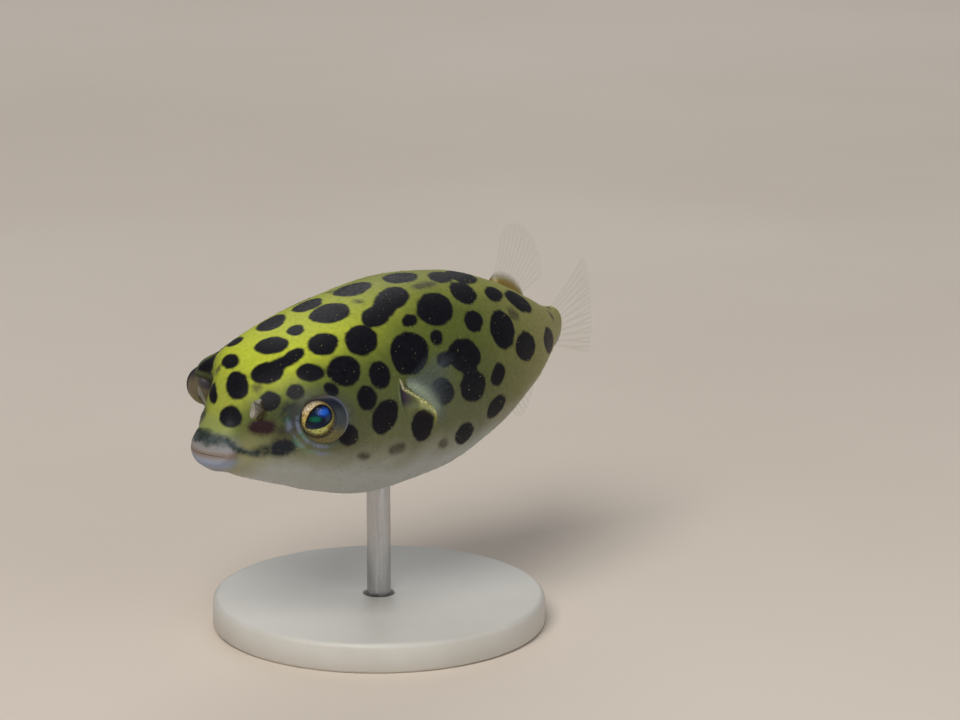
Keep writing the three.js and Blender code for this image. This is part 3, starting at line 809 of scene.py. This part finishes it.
def stand_paint_finish():
    finish = Finish("satin_paint")
    dust = finish.noise(6, 4.0)
    return finish.surface(base_color=finish.shades(dust, 0.3, 0.7, (206, 203, 196), (214, 211, 205)),
                          roughness=finish.step(dust, 0.3, 0.7, 0.42, 0.55),
                          normal=finish.bump(finish.noise(0.9, 2.0), 0.02, 0.5),
                          coat_weight=0.15, coat_roughness=0.3)


def steel_finish():
    finish = Finish("brushed_steel")
    lines = finish.add("Mapping", {"Vector": finish.place(), "Scale": (9000.0, 9000.0, 300.0)})
    brush = finish.noise(1 / MM, 2.0, 0.5, lines)
    return finish.surface(base_color=finish.shades(brush, 0.3, 0.7, (184, 185, 188), (200, 201, 204)),
                          metallic=1.0, roughness=finish.step(brush, 0.3, 0.7, 0.26, 0.36),
                          normal=finish.bump(brush, 0.004, 0.3))


def floor_finish():
    finish = Finish("pale_floor")
    cloud = finish.noise(1 / (9 * MM), 4.0)
    return finish.surface(base_color=finish.shades(cloud, 0.3, 0.7, (226, 213, 200), (233, 221, 209)),
                          roughness=0.8, specular_ior_level=0.2)


# ---- the skin ----


def make_skin():
    def to_skin(points):
        tilt, angle = ball_angles(points)
        share = tilt / pi
        in_mouth = share < LIP_SHARE
        at = where(in_mouth, LIP_STATION * share / LIP_SHARE, station_of(share))
        skin = skin_point(share, angle)
        flat = where(in_mouth[:, None], skin, plain_skin(at, angle))
        return skin, markings(flat, at, angle)

    piece = finished("skin", unit_balls(SKIN_ROUND, SKIN_RINGS), skin_finish(), to_skin)
    on_body(piece, "skin", "head", "trunk", "tail", "upper_lip", "lower_lip")


# ---- the eyes ----

PUPIL_LONG = 1.26
PUPIL_SHORT = 0.86
PUPIL_TURN = radians(40)
PUPIL_PLACE = (0.04, 0.06)
INNER_CORNER = (-0.64, 0.66, 0.42)      # towards the eye's inner corner by the snout, painted in shade
IRIS_SLOPE = 0.16       # width of the soft edge between eyeball and iris
BULGE = 0.07            # the cornea's height over the eyeball at its middle


def pupil_depth(across, rise):
    """How deep a point of the iris lies inside the drop-shaped pupil, in millimetres."""
    x, y = across - PUPIL_PLACE[0], rise - PUPIL_PLACE[1]
    along = x * cos(PUPIL_TURN) + y * sin(PUPIL_TURN)
    aside = y * cos(PUPIL_TURN) - x * sin(PUPIL_TURN)
    width = PUPIL_SHORT * (1 + 0.28 * along / PUPIL_LONG)
    return (1 - sqrt((along / PUPIL_LONG) ** 2 + (aside / width) ** 2)) * PUPIL_SHORT


def make_eye(side, eye_material, cornea_material):
    gaze = unit(EYE_GAZES[side])
    across = unit(cross((0, 0, 1), gaze))    # tailwards across the iris
    across, rise, gaze = (mirrored(way, side) for way in (across, cross(gaze, across), gaze))
    centre = mirrored(EYE_CENTRES[side], side)
    ball = EYE_RADII[side]
    iris = IRIS_RADII[side]

    def in_eye(reach, turn, height):
        """A point this far from the line of sight, round it and along it."""
        x, y = reach * cos(turn), reach * sin(turn)
        return x, y, centre + x[:, None] * across + y[:, None] * rise + height[:, None] * gaze

    def to_eye(points):
        tilt, turn = ball_angles(points)
        tilt = pi * (tilt / pi) ** 1.25
        reach = ball * sin(tilt)
        height = ball * cos(tilt)
        x, y, _ = in_eye(reach, turn, height)
        front = height > 0
        depth = pupil_depth(x * IRIS_RADII[-1] / iris, y * IRIS_RADII[-1] / iris)
        sunk = ease(iris, iris - IRIS_SLOPE, reach)
        level = sqrt(ball ** 2 - iris ** 2) - 0.02
        level = level - 0.06 * ease(1.4, 0.7, reach) - 0.08 * ease(-0.04, 0.1, depth)
        height = where(front, height + (level - height) * sunk, height)
        _, _, result = in_eye(reach, turn, height)
        _, over, off = round_the_eye(result, side)
        lid = clip((SOCKET_RADIUS * ball / EYE_RADII[-1] - off) / 1.2, 0, 1) * (over > 0)
        inner = (result - centre) @ mirrored(unit(INNER_CORNER), side) / ball
        return result, {"eye_across": x / iris, "eye_up": y / iris,
                        "eye_radius": where(front, reach / iris, -FAR_OUT),
                        "pupil": where(front, depth, FAR_OUT), "lid": lid,
                        "corner": ease(0.86, 0.97, inner)}

    def to_cornea(points):
        tilt, turn = ball_angles(points)
        outer = points[:, 2] >= 0
        spread = where(outer, tilt, pi - tilt) / (pi / 2)
        lean = spread * np.arcsin((iris + 0.04) / ball)
        shell = ball + where(outer, 0.03 + BULGE * (1 - spread ** 2), -0.03)
        return in_eye(shell * sin(lean), turn, shell * cos(lean))[2], {}

    word = SIDES[side]
    on_body(finished(f"eyeball_{word}", unit_balls(128, 110), eye_material, to_eye), "eye", f"eye_{word}")
    on_body(finished(f"cornea_{word}", unit_balls(64, 48), cornea_material, to_cornea), "eye")


# ---- the nasal flaps ----

FLAP_STATION = 3.3
FLAP_ANGLE = radians(54)
FLAP_LENGTH = 2.45
FLAP_WIDTH = 0.32
FLAP_THICKNESS = 0.07
FLAP_LIFTS = {-1: 0.42, 1: 1.0}     # how much of each flap's direction is straight out of the skin
FLAP_SKEW = 0.9
FLAP_LEANS = (-32, 24)  # the two lobes turn apart about their shared ridge, in degrees


def make_nasal_flap(side, material):
    """Two soft lobes that rise from one foot and part along a ridge, like a small open book."""
    angle = -side * FLAP_ANGLE
    root = skin_surface(FLAP_STATION, angle)
    out = outward(plain_skin, FLAP_STATION, angle)
    to_back = unit(skin_surface(FLAP_STATION + 0.24, angle * 0.93) - root)
    length_way = unit(FLAP_LIFTS[side] * out + to_back)
    side_way = unit(cross(length_way, out)) * -side
    face_way = unit(cross(side_way, length_way)) * -side

    def to_lobes(points):
        x, y, z = points.T
        t = (z + 1) / 2
        lobe = np.repeat((0, 1), len(points) // 2)
        spread = radians(np.take(FLAP_LEANS, lobe))[:, None]
        wide_way = side_way * cos(spread) + face_way * sin(spread)
        thick_way = cross(length_way, wide_way)
        blunt = clip(1 - z * z, 0.05, 1) ** (-0.22 * t)
        wide = FLAP_WIDTH * (0.7 + 0.55 * t) * (x + 0.75) * (2 * lobe - 1) * blunt
        thick = FLAP_THICKNESS * (1.3 - 0.6 * t) * y
        curl = 0.16 * t * t - 0.1 * (x + 0.75) * t
        along = FLAP_LENGTH * (t - 0.2) * (1 - 0.1 * lobe) - FLAP_SKEW * (x + 1) * t
        place_of = (root + along[:, None] * length_way + wide[:, None] * wide_way
                    + thick[:, None] * thick_way + curl[:, None] * out)
        return place_of, {"tip": t, "shade": lobe, "width": x}

    balls = unit_balls(24, 20, len(FLAP_LEANS))
    on_body(finished(f"nasal_flap_{SIDES[side]}", balls, material, to_lobes), "skin")


# ---- the fins ----


def ray_reach(u, corner):
    return corner + (1 - corner) * sin(pi * clip(u, 0, 1)) ** 0.6


def midline_sheet(start, end, leans, length, corner, wave):
    """An upright fin's middle sheet, between two roots given as (station, level)."""
    def sheet(u, v):
        lean = radians(leans[0] + (leans[1] - leans[0]) * u)
        reach = length * ray_reach(u, corner) * v
        at = start[0] + (end[0] - start[0]) * u + cos(lean) * reach
        up = start[1] + (end[1] - start[1]) * u + sin(lean) * reach
        return place(at, wave * v * v * sin(pi * (u + 0.2)), up)
    return sheet


def flank_right(at, up):
    """How far the body's flank stands to the right at a station and a level."""
    back, belly, half, widest, upper, lower = measure(at)
    is_upper = up > widest
    span = where(is_upper, back - widest, widest - belly)
    square = where(is_upper, upper, lower)
    return half * (1 - (np.abs(up - widest) / span) ** square) ** (1 / square)


PECTORAL_FLARE = radians(34)   # the pectoral fins stand this far off the flank
PECTORAL_LENGTH = 6.4


def pectoral_sheet(side):
    """A pectoral fin's middle sheet: u runs from its upper edge to its lower one."""
    def sheet(u, v):
        t = u - 0.5
        lean = radians(50 - 96 * u)
        reach = PECTORAL_LENGTH * ray_reach(u, 0.7) * v
        drop = (1 - clip(u, 0, 1)) ** 2 * (1 - v) ** 2
        up = 1.1 - t * 3.2 - 1.3 * drop
        at = 16.3 + t * 2.8 - 0.5 * drop
        out = flank_right(at, up) - FIN_INSET - 0.25 * (1 - v) * ease(0.3, 0.0, u)
        back = cos(lean) * reach
        cupped = 0.5 * v * v * cos(pi * t)
        return place(at + back * cos(PECTORAL_FLARE),
                     side * (out + back * sin(PECTORAL_FLARE) + cupped), up + sin(lean) * reach)
    return sheet


RAY_LANE = 10       # grid squares across each ray's lane
FIN_SQUARES = 56    # and from a fin's root to its edge


def make_fin(name, node, sheet, rays, material, root_thickness, flesh_reach, fork=0.5):
    """A fin from its middle sheet: u runs across the fan from 0 to 1 and v from root to edge."""
    bm = bmesh.new()
    for _ in range(2):
        bmesh.ops.create_grid(bm, x_segments=rays * RAY_LANE, y_segments=FIN_SQUARES, size=0.5)
    half_count = len(bm.verts) // 2
    bm.verts.ensure_lookup_table()
    bmesh.ops.reverse_faces(bm, faces=[f for f in bm.faces if f.verts[0].index >= half_count])
    bmesh.ops.bridge_loops(bm, edges=[e for e in bm.edges if e.is_boundary])

    def to_fin(points):
        u, v = clip(points[:, 0] + 0.5, 0, 1), clip(points[:, 1] + 0.5, 0, 1)
        lane = u * rays
        split = 0.24 * ease(fork, 1.0, v)
        centre = np.floor(lane) + 0.5
        off = np.minimum(np.abs(lane - centre - split), np.abs(lane - centre + split))
        rib = bell(off, 0, 0.17 - 0.09 * v) * ease(1.0, 0.93, v)
        edge = 1 - 0.035 * (1 - rib) * ease(0.7, 1.0, v)
        flesh = ease(flesh_reach, flesh_reach * 0.4, v)
        step = 1e-3
        over_u = sheet(u + step, v) - sheet(u - step, v)
        over_v = sheet(u, v + step) - sheet(u, v - step)
        normal = row_units(cross(over_u, over_v))
        sides = ease(0, 0.06, u) * ease(1, 0.94, u)
        arch = bell(v, flesh_reach + 0.12, 0.10) * (1 - ease(0.5, 0.85, u))
        ribbed = (1 - 0.6 * v) * (1 - flesh) * (1 - 0.7 * arch)
        thick = 0.05 + 0.13 * rib * ribbed + root_thickness * flesh * sides ** 0.5
        top = ease(0.0, 0.16, u) * (1 - ease(0.22, 0.6, u))
        veil_edge = 1.0 - 0.28 * ease(0.1, 0.35, u)
        veil = top * (1 - ease(veil_edge - 0.4, veil_edge, v)) * (0.8 + 0.2 * rib)
        face = where(np.arange(len(points)) < half_count, 0.5, -0.5)
        return (sheet(u, v * edge) + normal * (face * thick)[:, None],
                {"rib": rib, "flesh": flesh, "reach": v, "veil": veil, "arch": arch})

    on_body(finished(name, bm, material, to_fin), "fin", node)


DORSAL_ROOT = (33.8, 37.6)
ANAL_ROOT = (38.6, 35.0)
TAIL_FIN_INSET = 0.4


def make_fins():
    def level(column, at, inset):
        return at, float(measure(at)[column]) + inset

    clear = (196, 200, 188)
    dorsal = fin_finish("dorsal_fin_web", (150, 126, 50), clear, 0.025, 0.09)
    anal = fin_finish("anal_fin_web", (140, 136, 92), clear, 0.025, 0.09)
    caudal = fin_finish("tail_fin_web", (140, 138, 92), clear, 0.025, 0.09)
    pectoral = fin_finish("pectoral_fin_web", (128, 134, 66), (84, 96, 104), 0.008, 0.008, 0.3,
                          (92, 104, 110))
    start, end = (level(0, at, -FIN_INSET) for at in DORSAL_ROOT)
    sheet = midline_sheet(start, end, (66, 14), 7.4, 0.62, 0.7)
    make_fin("dorsal_fin_web", "dorsal_fin", sheet, 13, dorsal, 1.0, 0.32)
    start, end = (level(1, at, FIN_INSET) for at in ANAL_ROOT)
    sheet = midline_sheet(start, end, (-12, -62), 6.6, 0.6, 0.6)
    make_fin("anal_fin_web", "anal_fin", sheet, 11, anal, 0.9, 0.32)
    end_levels = (level(0, BODY_LENGTH, -TAIL_FIN_INSET)[1], level(1, BODY_LENGTH, TAIL_FIN_INSET)[1])
    start, end = ((BODY_LENGTH - FIN_INSET, up) for up in end_levels)
    sheet = midline_sheet(start, end, (17, -17), 12.6, 0.82, 0.5)
    make_fin("tail_fin_web", "caudal_fin", sheet, 11, caudal, 0.9, 0.14, 0.35)
    for side, word in SIDES.items():
        make_fin(f"pectoral_fin_web_{word}", f"pectoral_fin_{word}", pectoral_sheet(side), 16, pectoral,
                 0.45, 0.16)


# ---- the prickles ----

PRICKLES = 3000
PRICKLE_SEED = 21
PRICKLE_HEIGHT = 0.105
PRICKLE_RADIUS = 0.045
PRICKLE_ROOT = 0.03     # depth of a prickle's foot under the skin
EYE_CLEARANCE = 2.9     # no prickle stands nearer an eye's axis than this
BAKE_PATCH = 0.003
BAKE_MARGIN = 0.01


def make_prickles():
    """Tiny spines that lie back along the skin, each a five-sided cone rooted just under it."""
    rng = np.random.default_rng(PRICKLE_SEED)
    at = rng.uniform(2.8, 43.5, PRICKLES * 3)
    angle = rng.uniform(-pi, pi, PRICKLES * 3)
    girth = measure(at)[2] / 8.6
    keep = rng.uniform(0, 1, len(at)) < girth
    point = skin_surface(at, angle)
    for side in SIDES:
        keep &= round_the_eye(point, side)[2] > EYE_CLEARANCE
    keep &= gill_depth(at, angle) < 0.05
    chosen = np.flatnonzero(keep)[:PRICKLES]
    at, angle, point = at[chosen], angle[chosen], point[chosen]
    out = outward(skin_surface, at, angle)
    back = skin_surface(at + 0.05, angle) - point
    back = row_units(back - out * np.sum(out * back, axis=1, keepdims=True))
    aside = cross(out, back)
    size = rng.uniform(0.7, 1.25, len(at))
    glint = rng.uniform(0, 1, len(at)) ** 4

    cone = bmesh.new()
    bmesh.ops.create_cone(cone, cap_ends=True, segments=5, radius1=1.0, radius2=0.0, depth=1.0)
    bmesh.ops.remove_doubles(cone, verts=cone.verts[:], dist=1e-4)
    corners = len(cone.verts)
    one = bpy.data.meshes.new("prickle")
    cone.to_mesh(one)
    cone.free()
    bm = bmesh.new()
    for _ in range(len(at)):
        bm.from_mesh(one)
    bpy.data.meshes.remove(one)

    def to_prickles(points):
        points = points.reshape(len(at), corners, 3)
        x, y, rise = points[..., 0], points[..., 1], points[..., 2] + 0.5
        across = PRICKLE_RADIUS * size[:, None]
        height = (PRICKLE_HEIGHT * rise - PRICKLE_ROOT) * size[:, None]
        lean = PRICKLE_HEIGHT * 0.8 * rise ** 1.5 * size[:, None]
        result = (point[:, None] + height[..., None] * out[:, None] + (across * y)[..., None] * aside[:, None]
                  + (across * x * 1.5 + lean)[..., None] * back[:, None])
        values = markings(plain_skin(at, angle), at, angle)
        values = {key: np.repeat(value, corners) for key, value in values.items()}
        return result.reshape(-1, 3), {**values, "tip": rise, "glint": np.repeat(glint, corners)}

    piece = finished("prickles", bm, prickle_finish(), to_prickles)
    unwrap_prickles(piece.data, at, angle, corners)
    on_body(piece, "skin")


def unwrap_prickles(mesh, at, angle, corners):
    """Each prickle is a small patch at its root's place on the skin's own unwrap."""
    layer = mesh.uv_layers.new(name="OFBake")
    loops = np.empty(len(mesh.loops), dtype=np.int32)
    mesh.loops.foreach_get("vertex_index", loops)
    which = loops // corners
    turn = (loops % corners) / corners * 2 * pi
    within = 1 - 2 * BAKE_MARGIN
    u = BAKE_MARGIN + within * (angle[which] / (2 * pi) + 0.5) + BAKE_PATCH / 2 * cos(turn)
    v = BAKE_MARGIN + within * at[which] / BODY_LENGTH + BAKE_PATCH / 2 * sin(turn)
    layer.data.foreach_set("uv", np.stack((u, v), axis=1).ravel())


# ---- the stand ----

BASE_RADIUS = 14.0
BASE_THICKNESS = 2.6
BASE_EDGE = 0.5
BASE_CHAMFER = 0.3
HOLE_EDGE = 0.15
ROD_RADIUS = 1.0
ROD_FOOT_EDGE = 0.15
ROD_TOP_EDGE = 0.3
ROD_IN_BASE = 1.6
ROD_IN_BELLY = 2.5
ROD_CLEARANCE = 0.3


def turned(name, profile, material, steps=96):
    """A turned part: its half outline, given as (radius, height), spun about the upright axis."""
    bm = bmesh.new()
    verts = [bm.verts.new((radius, 0, height)) for radius, height in profile]
    edges = [bm.edges.new(pair) for pair in zip(verts, verts[1:])]
    bmesh.ops.spin(bm, geom=verts + edges, cent=(0, 0, 0), axis=(0, 0, 1), angle=2 * pi,
                   steps=steps, use_merge=True)
    bmesh.ops.remove_doubles(bm, verts=bm.verts[:], dist=1e-4)
    bmesh.ops.recalc_face_normals(bm, faces=bm.faces[:])
    return finished(name, bm, material)


def rounded_corner(radius, height, edge, start, steps=6):
    """Points of a quarter round about a corner's centre, from the start angle on, in degrees."""
    return [(radius + edge * cos(radians(start + 90 * i / steps)),
             height + edge * sin(radians(start + 90 * i / steps))) for i in range(steps + 1)]


def make_stand():
    hole = ROD_RADIUS + ROD_CLEARANCE
    hole_floor = BASE_THICKNESS - ROD_IN_BASE - ROD_CLEARANCE
    profile = [(0, 0), (BASE_RADIUS - BASE_CHAMFER, 0.0), (BASE_RADIUS, BASE_CHAMFER)]
    profile += rounded_corner(BASE_RADIUS - BASE_EDGE, BASE_THICKNESS - BASE_EDGE, BASE_EDGE, 0)
    profile += rounded_corner(hole + HOLE_EDGE, BASE_THICKNESS - HOLE_EDGE, HOLE_EDGE, 90, 4)
    profile += [(hole, hole_floor), (0, hole_floor)]
    on_body(turned("stand_base_disc", profile, stand_paint_finish()), "stand_paint", "stand_base")
    top = AXIS_HEIGHT + float(measure(ROD_STATION)[1]) + ROD_IN_BELLY
    low = BASE_THICKNESS - ROD_IN_BASE
    foot = ROD_RADIUS - ROD_FOOT_EDGE
    profile = [(0, low), (foot, low)] + rounded_corner(foot, low + ROD_FOOT_EDGE, ROD_FOOT_EDGE, -90, 4)[1:]
    profile += rounded_corner(ROD_RADIUS - ROD_TOP_EDGE, top - ROD_TOP_EDGE, ROD_TOP_EDGE, 0, 4)
    profile += [(0, top)]
    on_body(turned("stand_rod_steel", profile, steel_finish(), 64), "stand_steel", "stand_rod")


# ---- floor, lights and camera ----

FLOOR_SIZE = 2500


def make_floor():
    bm = bmesh.new()
    bmesh.ops.create_grid(bm, x_segments=8, y_segments=8, size=FLOOR_SIZE)
    finished("floor", bm, floor_finish())


def look_angles(back):
    """The turn of a camera or lamp whose back points this way, with its top kept upright."""
    return (np.arccos(back[2]), 0.0, np.arctan2(back[0], -back[1]))


LIGHTS_AIM = (-0.005, 0.0, 0.02)
LIGHTS = (      # name, place in metres, width, power, colour
    ("key_light", (-0.34, -0.16, 0.42), 0.30, 1.9, (1.0, 0.98, 0.93)),
    ("fill_light", (-0.10, -0.60, 0.22), 0.5, 0.6, (0.95, 0.98, 1.0)),
    ("rim_light", (0.35, 0.35, 0.40), 0.4, 0.7, (0.98, 0.99, 1.0)),
)


def set_up(name, data, position, back):
    """Puts a lamp or camera at a place in metres, with its back turned this way."""
    thing = bpy.data.objects.new(name, data)
    bpy.context.scene.collection.objects.link(thing)
    thing.location = position
    thing.rotation_euler = look_angles(unit(back))
    return thing


def make_lights():
    for name, position, width, power, colour in LIGHTS:
        data = bpy.data.lights.new(name, "AREA")
        data.shape = "DISK"
        data.size = width
        data.energy = power
        data.color = colour
        set_up(name, data, position, np.array(position) - LIGHTS_AIM)
    world = bpy.data.worlds.new("studio")
    world.use_nodes = True
    sky = world.node_tree.nodes["Background"]
    sky.inputs["Color"].default_value = (0.86, 0.88, 0.90, 1)
    sky.inputs["Strength"].default_value = 0.2
    bpy.context.scene.world = world
    bpy.context.scene.view_settings.view_transform = "Standard"


VIEW_AZIMUTH = radians(-44.5)
VIEW_ELEVATION = radians(14.8)
VIEW_DISTANCE = 350.0
SENSOR = 36.0
PIXELS_PER_MM = 12.0
PICTURE_WIDTH = 960
AIM_RIGHT = 8.54    # the picture's middle lies this far right of and above the body's middle
AIM_UP = 2.67


def make_camera():
    back = np.array((sin(VIEW_AZIMUTH) * cos(VIEW_ELEVATION),
                     -cos(VIEW_AZIMUTH) * cos(VIEW_ELEVATION), sin(VIEW_ELEVATION)))
    right = np.array((cos(VIEW_AZIMUTH), sin(VIEW_AZIMUTH), 0.0))
    middle = np.array((0.0, 0.0, AXIS_HEIGHT))
    aim = middle + right * AIM_RIGHT + cross(back, right) * AIM_UP
    position = middle + back * VIEW_DISTANCE
    data = bpy.data.cameras.new("camera")
    data.sensor_width = SENSOR
    data.lens = PIXELS_PER_MM * VIEW_DISTANCE / PICTURE_WIDTH * SENSOR
    data.clip_start = 0.01
    data.clip_end = 20.0
    bpy.context.scene.camera = set_up("camera", data, position * MM, position - aim)


# ---- all of it ----

make_camera()
make_skin()
eye_material, cornea_material, flap_material = eye_finish(), cornea_finish(), flap_finish()
for side in SIDES:
    make_eye(side, eye_material, cornea_material)
    make_nasal_flap(side, flap_material)
make_fins()
make_prickles()
make_stand()
make_floor()
make_lights()
